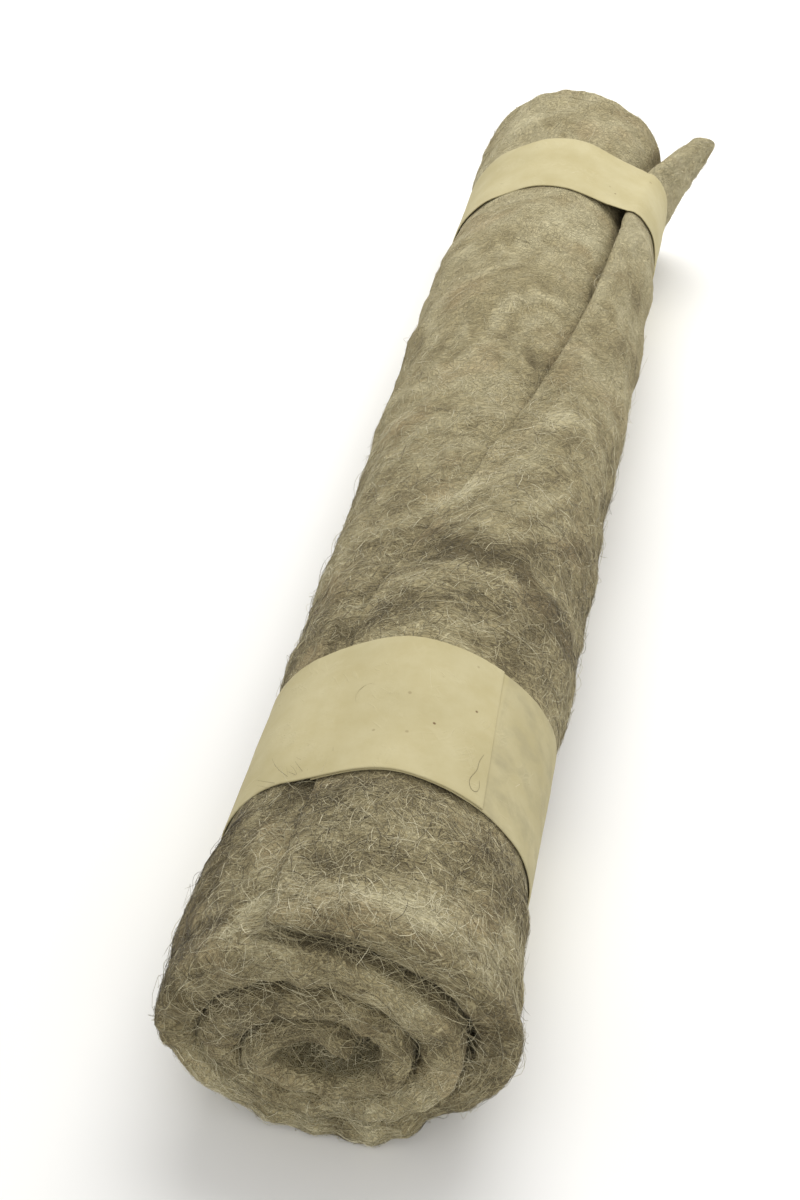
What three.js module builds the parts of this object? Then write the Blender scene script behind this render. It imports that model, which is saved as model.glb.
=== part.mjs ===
// A sheet of thick wool felt, rolled up and held by two bands of plain paper.
// Millimetres, +Z up. The roll lies along Y with its open spiral end at -Y.
// The origin is in the middle of the small flat spot under it.
import * as THREE from "three";

const FELT_THICK = 4.7;
const ROLL_LENGTH = 300;
const ROLL_WIDTH = 49.6;
const ROLL_HEIGHT = 41.6;
// The felt under the roll is pressed flat where the round shape would reach this far below the surface.
const FLAT_DEPTH = 0.6;

// The winding, as seen from the open end: angles run anticlockwise from +X, outwards along the sheet.
const FULL_TURNS = 3;
const INNER_EDGE_ANGLE = 62;
const FREE_EDGE_ANGLE = 100;
const COLUMNS = 103;
// Columns up to this share keep their direction all along the roll. The rest follow the free edge.
const STEADY_SHARE = 0.86;
// The hollow eye in the middle, as the ellipse that the sheet's middle layer starts on.
const EYE_HALF_LONG = 5.4;
const EYE_HALF_SHORT = 2.8;
const EYE_TILT = 14;
// The eye hangs below the middle of the roll, and the felt is pressed thinner at the bottom by this share.
const EYE_DROP = 1.2;
const PRESSED = 0.13;
// The cut edge in the eye is thin, over this angle.
const INNER_EDGE_THICK = 2.6;
const INNER_TAPER_ANGLE = 70;

// How the outer free edge leaves its line along the roll: where that is along the roll, how far the edge
// has slipped back round it, how far it stands off, over which angle it lifts, and how thick it is left.
const FREE_EDGE = [
  { along: 0, slip: 0, lift: 0, over: 40, thick: 2.6 },
  { along: 80, slip: 0, lift: 0, over: 40, thick: 1.8 },
  { along: 132, slip: 18, lift: 0, over: 40, thick: 1.7 },
  { along: 164, slip: 35, lift: 0.3, over: 40, thick: 2.4 },
  { along: 196, slip: 48, lift: 0.7, over: 40, thick: 3.5 },
  { along: 238, slip: 58, lift: 0.5, over: 42, thick: 4.2 },
  { along: 272, slip: 70, lift: 0.6, over: 42, thick: 4.3 },
  { along: ROLL_LENGTH, slip: 83, lift: 4.9, over: 40, thick: 4.2 },
];
// The sheet thins towards the free edge over this angle.
const TAPER_ANGLE = 24;
// Over this much slip the edge leaves the top of the roll, and the turn below it comes up as high.
const TOP_BLEND = 75;

// Where the roll is fuller or flatter than an ellipse: in which direction, by how much, over what half
// angle, at which place along the roll, and how far from there.
const SHAPE = [
  { towards: 130, out: 1.4, wide: 48, at: 0, reach: 130 },
  { towards: 178, out: 1.2, wide: 62, at: 0, reach: 90 },
  { towards: 228, out: -1.2, wide: 62, at: 0, reach: 90 },
  { towards: 312, out: 0.7, wide: 62, at: 0, reach: 90 },
  { towards: 130, out: -1.2, wide: 50, at: ROLL_LENGTH, reach: 90 },
];

// The open end: inner turns stand out a little, and the last half turn is cut back.
const EYE_STANDS_OUT = 2;
const LAST_TURN_CUT_BACK = 4;
const CUT_BACK_ANGLE = 163;
const EDGE_REACH = 22;
const CORNER_RADIUS = 3.5;
const CORNER_NEAR_SHARE = 0.4;
const EDGE_WAVE = 0.8;
const EDGE_WAVES = 7.2;
// The turns flare to the right at both ends, past the bands.
const FLARE_NEAR = 3;
const FLARE_FAR = 3.9;
const FLARE_REACH = 36;
const FLARE_POWER = 1.5;

// The paper bands: where each starts along the roll, how wide it is, and its glued overlap.
const PAPER_THICK = 0.35;
const PAPER_CLEAR = 0.32;
const BANDS = [
  { name: "paper_band_near", from: 37, width: 32.5, overlapFrom: 50, overlapTo: 122 },
  { name: "paper_band_far", from: 244.5, width: 25.5, overlapFrom: 190, overlapTo: 250 },
];
const SQUEEZE = 0.045;
const SQUEEZE_REACH = 9;
const BAND_MARGIN = 1.2;
const BAND_ABOVE_FLOOR = 0.03;

// The stations along the roll that the solid is built on.
const STATIONS = [
  0, 9, 20, 29, 36, 53, 70, 79, 100, 120, 140, 160, 180, 200, 220, 236, 243.5, 257, 270.5, 279, 288, 295,
  ROLL_LENGTH,
];

const FELT = new THREE.MeshStandardMaterial({ color: 0xa39a80, roughness: 0.95, metalness: 0 });
const PAPER = new THREE.MeshStandardMaterial({ color: 0xd9cfa4, roughness: 0.8, metalness: 0 });

const radians = THREE.MathUtils.degToRad;

// A smooth curve through one column of a table, by Catmull-Rom.
function throughTable(table, column, along) {
  let i = 0;
  while (i < table.length - 2 && along > table[i + 1].along) i += 1;
  const near = table[i];
  const far = table[i + 1];
  const before = table[Math.max(i - 1, 0)];
  const after = table[Math.min(i + 2, table.length - 1)];
  const span = far.along - near.along;
  const t = THREE.MathUtils.clamp((along - near.along) / span, 0, 1);
  const slopeNear = ((far[column] - before[column]) / (far.along - before.along)) * span;
  const slopeFar = ((after[column] - near[column]) / (after.along - near.along)) * span;
  return (
    near[column] * (2 * t ** 3 - 3 * t ** 2 + 1) +
    slopeNear * (t ** 3 - 2 * t ** 2 + t) +
    far[column] * (3 * t ** 2 - 2 * t ** 3) +
    slopeFar * (t ** 3 - t ** 2)
  );
}

// The distance from an ellipse's centre to its tangent whose normal points along the angle.
const ellipseReach = (halfLong, halfShort, angle) =>
  Math.hypot(halfLong * Math.cos(radians(angle)), halfShort * Math.sin(radians(angle)));
const eyeReach = (angle) =>
  ellipseReach(EYE_HALF_LONG, EYE_HALF_SHORT, angle - EYE_TILT) - EYE_DROP * Math.sin(radians(angle));

// How far the roll is fuller than an ellipse in one direction, for a turn this far out and this far along.
function fuller(angle, outward, along) {
  const turned = Math.min(1, outward / (1 - 1 / FULL_TURNS)) ** 2;
  return SHAPE.reduce((sum, { towards, out, wide, at, reach }) => {
    const off = Math.abs(THREE.MathUtils.euclideanModulo(angle - towards + 180, 360) - 180);
    const fading = 1 - THREE.MathUtils.smoothstep(Math.abs(along - at), reach / 2, reach);
    return sum + (off < wide ? out * turned * fading * Math.cos(radians((90 * off) / wide)) ** 2 : 0);
  }, 0);
}

// The winding at one place along the roll. Its outer ellipse is sized so that the roll keeps its width and
// height wherever the free edge is.
function windingAt(along) {
  const slip = throughTable(FREE_EDGE, "slip", along);
  const start = INNER_EDGE_ANGLE;
  const end = FREE_EDGE_ANGLE + 360 * FULL_TURNS - slip;
  const outward = (angle) => (angle - start) / (end - start);
  const last = (angle) => angle + 360 * Math.floor((end - angle) / 360);
  const edgePastTop = THREE.MathUtils.smoothstep(slip, 0, TOP_BLEND);
  const topTurn = outward(90 + 360 * (FULL_TURNS - edgePastTop));
  const thickUnder = FELT_THICK * (1 - PRESSED);
  // The outer ellipse's half axis that gives this size between two sides, each at its share of the winding.
  const halfAxis = (size, a, b) =>
    (size - (1 - a.share) * eyeReach(a.angle) - (1 - b.share) * eyeReach(b.angle)) / (a.share + b.share);
  const side = (angle) => ({ angle, share: outward(last(angle)) });
  const halfWide = halfAxis(ROLL_WIDTH - FELT_THICK, side(0), side(180));
  const height = ROLL_HEIGHT + FLAT_DEPTH - (FELT_THICK + thickUnder) / 2;
  const halfHigh = halfAxis(height, { angle: 90, share: topTurn }, side(270));
  const reach = (angle) => {
    const share = outward(angle);
    const round = (1 - share) * eyeReach(angle) + share * ellipseReach(halfWide, halfHigh, angle);
    return round + fuller(angle, share, along);
  };
  const middleX = (reach(last(180)) - reach(last(0))) / 2;
  return {
    start,
    end,
    reach,
    middle: new THREE.Vector2(middleX, reach(last(270)) + thickUnder / 2 - FLAT_DEPTH),
  };
}

// The winding angle of one column.
function angleOf(winding, column) {
  const share = column / COLUMNS;
  const fullWinding = FREE_EDGE_ANGLE + 360 * FULL_TURNS;
  const steady = THREE.MathUtils.lerp(winding.start, fullWinding, Math.min(share, STEADY_SHARE));
  const following = Math.max(0, share - STEADY_SHARE) / (1 - STEADY_SHARE);
  return THREE.MathUtils.lerp(steady, winding.end, following);
}

// How thick the sheet is at one winding angle. It thins on its outside towards the free edge, and on its
// inside towards the edge in the eye.
function thicknessAt(winding, angle, along) {
  const pressed = 1 - PRESSED * Math.max(0, -Math.sin(radians(angle)));
  const nearFreeEdge = 1 - THREE.MathUtils.smoothstep(winding.end - angle, -TAPER_ANGLE / 2, TAPER_ANGLE);
  const nearEye = 1 - THREE.MathUtils.smoothstep(angle - winding.start, 0, INNER_TAPER_ANGLE);
  const offOutside = (FELT_THICK - throughTable(FREE_EDGE, "thick", along)) * nearFreeEdge * pressed;
  const offInside = (FELT_THICK - INNER_EDGE_THICK) * nearEye * pressed;
  const thick = FELT_THICK * pressed - offOutside - offInside;
  return { thick, shift: (offInside - offOutside) / 2 };
}

// 1 under a paper band, 0 clear of it.
function underBand(along) {
  const away = BANDS.map(({ from, width }) =>
    Math.max(from - BAND_MARGIN - along, along - from - width - BAND_MARGIN, 0),
  );
  return 1 - THREE.MathUtils.smoothstep(Math.min(...away), 0, SQUEEZE_REACH);
}

// The middle of the sheet's thickness at one winding angle and one place along the roll.
function middleOfSheet(winding, angle, along) {
  const step = 0.5;
  const { reach } = winding;
  const out = reach(angle);
  const slope = (reach(angle + step) - reach(angle - step)) / radians(2 * step);
  const over = throughTable(FREE_EDGE, "over", along);
  const lifted = Math.max(0, 1 - (winding.end - angle) / over) ** 2;
  const { shift } = thicknessAt(winding, angle, along);
  const away = out + throughTable(FREE_EDGE, "lift", along) * lifted + shift;
  const [c, s] = [Math.cos(radians(angle)), Math.sin(radians(angle))];
  const point = new THREE.Vector2(away * c - slope * s, away * s + slope * c);
  point.add(winding.middle);
  const flareNear = FLARE_NEAR * Math.max(0, 1 - along / FLARE_REACH) ** FLARE_POWER;
  const flareFar = FLARE_FAR * Math.max(0, 1 - (ROLL_LENGTH - along) / FLARE_REACH) ** FLARE_POWER;
  const flare = flareNear + flareFar;
  if (point.x > 0) point.x += flare * (point.x / (ROLL_WIDTH / 2)) ** 2;
  const centre = new THREE.Vector2(0, ROLL_HEIGHT / 2);
  return point.sub(centre).multiplyScalar(1 - SQUEEZE * underBand(along)).add(centre);
}

// Where the sheet's two rolled edges lie for one column, from the ideal flat ends of the roll.
function rolledEdges(column) {
  const outward = column / COLUMNS;
  const wound = 360 * FULL_TURNS + FREE_EDGE_ANGLE - INNER_EDGE_ANGLE;
  const beforeEnd = (1 - outward) * wound;
  const columnWidth = radians(wound / COLUMNS) * (ROLL_WIDTH / 2 - FELT_THICK);
  const fromCorner = Math.min((COLUMNS - column) * columnWidth, CORNER_RADIUS);
  const corner = CORNER_RADIUS - Math.sqrt(CORNER_RADIUS ** 2 - (CORNER_RADIUS - fromCorner) ** 2);
  const wave = EDGE_WAVE * Math.sin(2 * Math.PI * EDGE_WAVES * outward);
  const cutBack = beforeEnd < CUT_BACK_ANGLE ? LAST_TURN_CUT_BACK : 0;
  return {
    near: cutBack - EYE_STANDS_OUT * (1 - outward) ** 2 + wave * (1 - outward) + corner * CORNER_NEAR_SHARE,
    far: EYE_STANDS_OUT * (1 - outward) - wave + corner,
  };
}

// The sheet's section at one station, as points on its inner and outer faces from the eye to the free edge.
function sectionAt(along) {
  const winding = windingAt(along);
  const floor = (PAPER_CLEAR + PAPER_THICK + BAND_ABOVE_FLOOR) * underBand(along);
  const middle = [];
  for (let column = 0; column <= COLUMNS; column += 1) {
    middle.push(middleOfSheet(winding, angleOf(winding, column), along));
  }
  return middle.map((point, column) => {
    const before = middle[Math.max(column - 1, 0)];
    const after = middle[Math.min(column + 1, COLUMNS)];
    const outwards = new THREE.Vector2(after.y - before.y, before.x - after.x).normalize();
    const half = thicknessAt(winding, angleOf(winding, column), along).thick / 2;
    const inner = point.clone().addScaledVector(outwards, -half);
    const outer = point.clone().addScaledVector(outwards, half);
    outer.y = Math.max(outer.y, floor);
    return { inner, outer };
  });
}

// Places a section point along the roll. The two ends follow the sheet's rolled edges.
function placed(point, along, column) {
  const { near, far } = rolledEdges(column);
  const towardsNear = Math.max(0, 1 - along / EDGE_REACH);
  const towardsFar = Math.max(0, 1 - (ROLL_LENGTH - along) / EDGE_REACH);
  return [point.x, along + near * towardsNear - far * towardsFar - ROLL_LENGTH / 2, point.y];
}

// One closed body: the sheet's inner and outer faces, joined round its four edges.
function feltSheet() {
  const positions = [];
  const sections = STATIONS.map(sectionAt);
  for (const face of ["inner", "outer"])
    sections.forEach((section, row) =>
      section.forEach((pair, column) => positions.push(...placed(pair[face], STATIONS[row], column))),
    );
  const rows = STATIONS.length - 1;
  const perFace = (COLUMNS + 1) * STATIONS.length;
  const at = (face, row, column) => face * perFace + row * (COLUMNS + 1) + column;
  const faces = [];
  const quad = (a, b, c, d) => faces.push(a, b, c, a, c, d);
  for (let row = 0; row < rows; row += 1)
    for (let column = 0; column < COLUMNS; column += 1) {
      const [next, right] = [row + 1, column + 1];
      quad(at(0, row, column), at(0, row, right), at(0, next, right), at(0, next, column));
      quad(at(1, row, column), at(1, next, column), at(1, next, right), at(1, row, right));
    }
  for (let column = 0; column < COLUMNS; column += 1) {
    quad(at(0, 0, column), at(1, 0, column), at(1, 0, column + 1), at(0, 0, column + 1));
    quad(at(0, rows, column), at(0, rows, column + 1), at(1, rows, column + 1), at(1, rows, column));
  }
  for (let row = 0; row < rows; row += 1) {
    quad(at(0, row, 0), at(0, row + 1, 0), at(1, row + 1, 0), at(1, row, 0));
    quad(at(0, row, COLUMNS), at(1, row, COLUMNS), at(1, row + 1, COLUMNS), at(0, row + 1, COLUMNS));
  }
  const geometry = new THREE.BufferGeometry();
  geometry.setAttribute("position", new THREE.Float32BufferAttribute(positions, 3));
  geometry.setIndex(faces);
  geometry.computeVertexNormals();
  const mesh = new THREE.Mesh(geometry, FELT);
  mesh.name = "felt_sheet";
  return mesh;
}

// The points that a tight string round them would touch, anticlockwise.
function tightOutline(points) {
  const sorted = [...points].sort((p, q) => p.x - q.x || p.y - q.y);
  const turns = (o, a, b) => (a.x - o.x) * (b.y - o.y) - (a.y - o.y) * (b.x - o.x);
  const half = (list) => {
    const kept = [];
    for (const p of list) {
      while (kept.length > 1 && turns(kept.at(-2), kept.at(-1), p) <= 0) kept.pop();
      kept.push(p);
    }
    return kept.slice(0, -1);
  };
  return [...half(sorted), ...half(sorted.reverse())];
}

// A paper band: a closed strip on the tight outline of the felt in it, double where its ends are glued.
function paperBand({ name, from, width, overlapFrom, overlapTo }) {
  const to = from + width;
  const inside = STATIONS.filter((along) => along >= from - BAND_MARGIN && along <= to + BAND_MARGIN);
  const outline = tightOutline(inside.flatMap((along) => sectionAt(along).map(({ outer }) => outer)));
  const outwardsAt = (i) => {
    const before = outline.at(i - 1);
    const after = outline[(i + 1) % outline.length];
    return new THREE.Vector2(after.y - before.y, before.x - after.x).normalize();
  };
  const facing = (way) => (THREE.MathUtils.radToDeg(Math.atan2(way.y, way.x)) + 360) % 360;
  const around = outline.map((point, i) => {
    const way = outwardsAt(i);
    const doubled = facing(way) >= overlapFrom && facing(way) <= overlapTo;
    return {
      inner: point.clone().addScaledVector(way, PAPER_CLEAR),
      outer: point.clone().addScaledVector(way, PAPER_CLEAR + PAPER_THICK * (doubled ? 2 : 1)),
    };
  });
  const shape = new THREE.Shape(around.map(({ outer }) => outer));
  shape.holes.push(new THREE.Path(around.map(({ inner }) => inner)));
  const geometry = new THREE.ExtrudeGeometry(shape, { depth: width, bevelEnabled: false });
  const mesh = new THREE.Mesh(geometry, PAPER);
  mesh.name = name;
  mesh.rotation.x = Math.PI / 2;
  mesh.position.y = to - ROLL_LENGTH / 2;
  return mesh;
}

const roll = new THREE.Group();
roll.add(feltSheet());
roll.add(...BANDS.map(paperBand));

export default roll;
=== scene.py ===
"""A sheet of thick grey-beige wool felt, rolled up and held by two bands of plain cream paper.

The shapes are worked out in millimetres, with the CAD source's formulas and most of its values, and put into
meshes in metres. A place on the sheet has a row, along the roll, and a column, along the winding.
"""

import math
from dataclasses import dataclass

import bpy
import numpy as np
from mathutils import Matrix, Vector


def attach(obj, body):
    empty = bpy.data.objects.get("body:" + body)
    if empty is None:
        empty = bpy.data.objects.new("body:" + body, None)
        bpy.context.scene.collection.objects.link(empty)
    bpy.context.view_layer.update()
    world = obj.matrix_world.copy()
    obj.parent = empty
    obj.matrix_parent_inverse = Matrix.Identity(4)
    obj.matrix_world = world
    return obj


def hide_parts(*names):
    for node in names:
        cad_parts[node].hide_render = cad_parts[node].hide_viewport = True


MM = 0.001

# The felt. Its inner end is thicker and its eye is larger than in the CAD source.
FELT_THICK = 4.7
ROLL_LENGTH = 300.0
ROLL_WIDTH = 49.6
ROLL_HEIGHT = 41.6
FLAT_DEPTH = 0.6
FULL_TURNS = 3
INNER_EDGE_ANGLE = 32.0
FREE_EDGE_ANGLE = 100.0
WOUND = 360.0 * FULL_TURNS + FREE_EDGE_ANGLE - INNER_EDGE_ANGLE
STEADY_SHARE = 0.86
EYE_HALF_LONG = 5.8
EYE_HALF_SHORT = 3.2
EYE_TILT = 14.0
EYE_DROP = 1.2
PRESSED = 0.13
INNER_EDGE_THICK = 3.7
INNER_TAPER_ANGLE = 70.0
TAPER_ANGLE = 24.0
TOP_BLEND = 75.0

# How the free edge leaves its line along the roll. Half way along it lies closer than in the CAD source.
ALONG, SLIP, LIFT, OVER, THICK = range(5)
FREE_EDGE = np.array(
    [
        (0, 5, -0.9, 40, 3.2),
        (22, 4, -0.9, 40, 2.1),
        (40, 3, -0.9, 40, 0.8),
        (80, 0, -0.9, 40, 0.8),
        (132, 18, -0.9, 40, 0.9),
        (164, 35, -0.9, 40, 2.4),
        (196, 48, -0.6, 40, 3.6),
        (238, 58, 0.1, 42, 3.7),
        (272, 70, 0.6, 42, 3.8),
        (300, 83, 4.9, 40, 6.3),
    ]
)
# Where the roll is fuller than an ellipse: direction, how much, half angle, place along the roll, reach.
SHAPE = (
    (120, 2.6, 58, 0, 130),
    (178, 1.2, 62, 0, 90),
    (228, -1.2, 62, 0, 90),
    (312, 0.7, 62, 0, 90),
    (130, -1.2, 50, ROLL_LENGTH, 90),
)

# The rolled ends. The angles are of winding, before the free edge.
EYE_STANDS_OUT = 2.0
LAST_TURN_CUT_BACK = 4.0
CUT_BACK_ANGLE = 163.0
CUT_BACK_EASE = 2.5
EDGE_REACH = 22.0
CORNER_RADIUS = 1.5
CORNER_NEAR_SHARE = 0.4
EDGE_WAVE = 0.8
EDGE_WAVE_ANGLE = 155.3
EDGE_WAVE_AT_END = 0.2
END_ROUGH = 0.35
END_ROUGH_LENGTH = 7.0
# How the outer turns flare at both ends, and how the bands squeeze the roll.
FLARE_NEAR = 3.0
FLARE_FAR = 3.9
FLARE_REACH = 36.0
FLARE_POWER = 1.5
SQUEEZE = 0.045
SQUEEZE_REACH = 9.0
BAND_MARGIN = 1.2

# The bands: name, start along the roll, width, directions between which it is double, sag, how much greyer
# the paper is past its joint.
BANDS = (
    ("paper_band_near", 37.0, 32.5, 44.0, 122.0, 0.15, 1.0),
    ("paper_band_far", 244.5, 25.5, 190.0, 250.0, 0.2, 0.0),
)
PAPER_THICK = 0.3
PAPER_CLEAR = 0.3
PAPER_ABOVE_FLOOR = 0.03
PAPER_SUNK = 0.1
GLUE = 0.04
# The mesh of a band.
BAND_ROWS = 26
BAND_STEP = 1.6
BAND_RIM = 0.25
BAND_EDGE_SHARES = (0.0, 0.004, 0.012)
BAND_END_DEGREES = (0.0, 0.1, 0.3)
BAND_END_CLEAR = 0.8
# How a band follows the felt, laps and wanders, in mm and in degrees.
POLAR_STEP = 0.3
BAND_MIDDLE_RADIUS = 22.0
BAND_EASED_OVER = 8
BAND_LAP_EASE = 34.0
BAND_JOINT_SLANT = 5.0
BAND_SLANT_OVER = 60.0
BAND_UNEVEN = 0.16
BAND_UNEVEN_LENGTH = 21.0
BAND_CURL = 0.12
BAND_CURL_LENGTH = 16.0
GREYER_FADES = (90.0, 200.0)
# A brown hair that lies on the near band beside its joint: share of the band's width, and direction.
LOOSE_HAIR = (
    *((0.36, 47.0), (0.28, 49.5), (0.22, 49.0), (0.15, 52.0)),
    *((0.09, 52.0), (0.06, 49.0), (0.11, 46.8), (0.17, 48.0)),
)
LOOSE_HAIR_WIDTH = 0.07
LOOSE_HAIR_TONE = 0.25

# The detailed mesh of the felt.
ROW_STEP = 3.0
ROW_STEP_AT_ENDS = 1.25
ENDS_REACH = 20.0
COLUMNS_INSIDE = 118
COLUMNS_OUTSIDE = 222
OUTSIDE_FROM_SHARE = 0.57
OUTSIDE_FULL_SHARE = 0.68
RIM_RADIUS = 2.0
RIM_STEPS = 6
INNER_RIM_SPREAD = 3.0
ROUNDING_POWER = 2.3
ROUNDING_POWER_FAR = 3.6
# From the first place to the second the free edge is rounded over this much more.
SOFT_EDGE = 2.2
SOFT_EDGE_FROM = (130.0, 190.0)
SOFT_EDGE_TO = (262.0, 285.0)
# The outer turns touch the turn inside them. Further in they leave part of the gap open.
TOUCHING_FROM = (760.0, 860.0)
FILLED_INSIDE = 0.85
TOUCHING_GAP = 0.08
# The felt's lumps: height, seed and wavelength. A band presses most of them flat.
LUMPS_OUTSIDE = ((0.26, 31, 22.0), (0.16, 32, 7.0))
LUMPS_INSIDE = ((0.08, 33, 9.0),)
PRESSED_FLAT = 0.85
OUTSIDE_SUNK = 0.1

# The mixed fleece: each patch's strength, seed, wavelength, stretch and lean.
MARL = ((0.05, 13, 34.0, 1.7, 2.2), (0.09, 14, 13.0, 2.2, 2.35), (0.08, 15, 5.0, 2.0, 2.0))
MARL_BEND = 5.0
MARL_BEND_LENGTH = 60.0
# Fleece placed one by one: direction, place along the roll, half sizes round and along it, lean, how light.
FLEECE = (
    (62, 96.5, 13, 2.8, 21, -0.34),
    (40, 92.5, 8, 2.6, 8, -0.36),
    (32, 122, 10, 22, 0, -0.09),
    (88, 103, 4, 4, 20, -0.12),
    (150, 112, 18, 22, 0, 0.08),
    (92, 142, 22, 24, 0, 0.06),
    (141, 28, 4.5, 11, 0, -0.30),
    (104, 34, 4, 4, 0, -0.14),
    (78, 32, 11, 3.5, 12, -0.16),
    (38, 31, 9, 5, 20, -0.18),
    (94, 14.5, 8, 2.6, 0, -0.12),
    (134, 7, 8, 3, 0, -0.24),
    (164, 16, 10, 14, 0, -0.30),
    # Painted shade just past the near band.
    (80, 73.5, 18, 5, 0, -0.26),
    (101, 12, 5, 10, 0, 0.24),
    (76, 8, 13, 3, 5, 0.13),
    (52, 9, 9, 4, 10, 0.14),
    (18, 16, 9, 10, 0, 0.10),
    (150, 20, 6, 4.5, 0, 0.12),
    (143, 87, 8, 5.5, 0, -0.16),
    (80, 79, 14, 4, 0, -0.12),
    (145, 102, 8, 4.5, 0, 0.12),
    (70, 117, 10, 5, 15, 0.13),
    (122, 135, 8, 6, 0, 0.08),
    (99, 157, 8, 5, 0, 0.17),
    (120, 170, 4.5, 4, 0, -0.14),
    (74, 169, 8, 4, 25, -0.15),
    (53, 156, 6, 4.5, 0, -0.13),
    (61, 138, 8, 6, 30, -0.13),
    (35, 131, 5, 5, 0, -0.12),
    (40, 186, 4, 8, 0, -0.12),
    (103, 278, 5, 3, 0, -0.12),
    (24, 289, 5, 5, 0, -0.13),
)
FLEECE_RADIUS = 22.5
FLEECE_WANDER = 1.2
# Where the free edge lies hidden along the roll, the fleece runs on across it over this angle.
EDGE_HIDDEN_FROM = (42.0, 62.0)
EDGE_HIDDEN_TO = (130.0, 150.0)
EDGE_HIDDEN_OVER = 70.0
# How much darker the wool is at the open end, as painted shade; on its rims, partly darker fleece and partly
# painted shade; and on the rim that is cut back, as painted shade in its crevice; how the turn that this lays
# bare differs, with a painted highlight on its rim and painted shade at the step behind it; and how much
# painted light it gets below and at the far end.
OPEN_END_SHADE = 0.08
FLEECE_CONTRAST = 1.35
FLEECE_CALMER = 0.3
RIM_DARKER = 0.04
CUT_RIM_DARKER = 0.16
BARED_LIGHTER = 0.14
BARED_DARKER = 0.28
INNER_RIMS_DARKER = 0.12
BELOW_LIGHTER = 0.24
FAR_LIGHTER = 0.22
# Where these set in: in mm along the roll, or in degrees of winding before the free edge.
DARKER_ALONG = (20.0, 220.0)
CALMER_ALONG = (150.0, 240.0)
LIGHTER_ALONG = (80.0, 300.0)
BELOW_ALONG = (4.0, 12.0)
BELOW_SLOPE = (0.2, 0.9)
RIM_ALONG = (0.8, 3.0)
BEHIND_RIM_ALONG = (1.6, 3.2)
OUTER_TURN_ENDS = (362.0, 368.0)
BARED_STARTS = (355.0, 365.0)
BARED_ENDS = (510.0, 530.0)
INNER_RIMS_START = (500.0, 560.0)

# The fibres' tones, how hairy the far end is, and how low they lie.
FIBRE_LEVEL = 0.47
FIBRE_FOLLOWS = 0.9
FIBRE_TONES = 0.26
CALM_FAR = 0.7
CALM_ALONG = (70.0, 230.0)
HAIRY_FAR = 0.07
HAIRY_ALONG = (40.0, 220.0)
FIBRE_ABOVE_FLOOR = 0.05
FIBRE_ROOT = 0.04
FIBRE_PRESSED = 0.9
LEAST_SPACING = 0.08
# Where the fibres grow, on how many rows and columns beside the edges.
UNDER_BAND = 0.97
OUTER_TURN = 365.0
END_ROWS = 12
EDGE_COLUMNS = 16
HIDDEN_BARER = 0.9
FACE_STEP = 3.0
FACE_LIGHT = 0.45
# Hairs over the near band's edge: place along the roll and direction, and reach.
TUFT = (35.0, 104.0)
TUFT_REACH = (2.5, 9.0)

# Colours, as linear red, green and blue.
WOOL_DARK = (0.118, 0.095, 0.049)
WOOL_MID = (0.335, 0.285, 0.158)
WOOL_LIGHT = (0.55, 0.50, 0.32)
WOOL_TAN = (0.37, 0.285, 0.155)
FIBRE_DARK = (0.078, 0.062, 0.033)
FIBRE_MID = (0.36, 0.31, 0.175)
FIBRE_PALE = (0.68, 0.63, 0.44)
PAPER_CREAM = (0.48, 0.42, 0.23)
PAPER_PALE = (0.53, 0.475, 0.285)
PAPER_GREY = (0.36, 0.32, 0.19)
PAPER_BLOTCH = (0.86, 0.85, 0.80)
SPECK_BROWN = (0.16, 0.10, 0.045)
FLOOR_PALE = (0.90, 0.90, 0.89)
FLOOR_PALER = (0.92, 0.92, 0.91)
BLACK = (0.0, 0.0, 0.0)
WHITE = (1.0, 1.0, 1.0)
HALF_GREY = (0.5, 0.5, 0.5)
# The rest of each surface, by the names of its shader's inputs.
FELT_SURFACE = {"Roughness": 0.95, "Specular IOR Level": 0.1}
FELT_SURFACE |= {"Sheen Weight": 0.12, "Sheen Roughness": 0.6, "Sheen Tint": (0.9, 0.8, 0.6)}
FIBRE_SURFACE = {"Roughness": 0.75, "Specular IOR Level": 0.3, "Sheen Weight": 0.15}
PAPER_SURFACE = {"Roughness": 0.82, "Specular IOR Level": 0.3}
FLOOR_SURFACE = {"Roughness": 0.9}
# Felted fibres that show as thin lines: which way they lie, and of which kind.
FELTED_LINES = ((0.45, "paler"), (1.75, "paler"), (2.6, "paler"), (1.15, "darker"), (2.95, "darker"))
LINES_SHOW = 0.24

# The camera, as fitted to the photograph. Its angles are in radians.
CAMERA_AT = (0.0459, -0.3455, 0.2475)
CAMERA_YAW = -0.1811
CAMERA_PITCH = 0.6366
CAMERA_ROLL = 0.0202
CAMERA_LENS = 62.56
FILM_HEIGHT = 36.0

# The lights: name, where it is, what it shines at, how wide it is, its power in watts and its colour.
LIGHTS = (
    ("key", (0.02, 0.42, 0.62), (0.0, 0.12, 0.0), 0.7, 5.2, (1.0, 0.99, 0.97)),
    ("fill", (0.35, -1.0, 0.45), (0.0, -0.1, 0.02), 0.9, 3.4, (1.0, 0.99, 0.98)),
)
WORLD_COLOUR = (1.0, 0.99, 0.97, 1.0)
WORLD_STRENGTH = 0.62
FLOOR_REACH = 3000.0


def smoothstep(value, low, high):
    t = np.clip((value - low) / (high - low), 0.0, 1.0)
    return t * t * (3.0 - 2.0 * t)


def fading(value, low, high):
    return 1.0 - smoothstep(value, low, high)


def cosd(angle):
    return np.cos(np.radians(angle))


def sind(angle):
    return np.sin(np.radians(angle))


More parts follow.
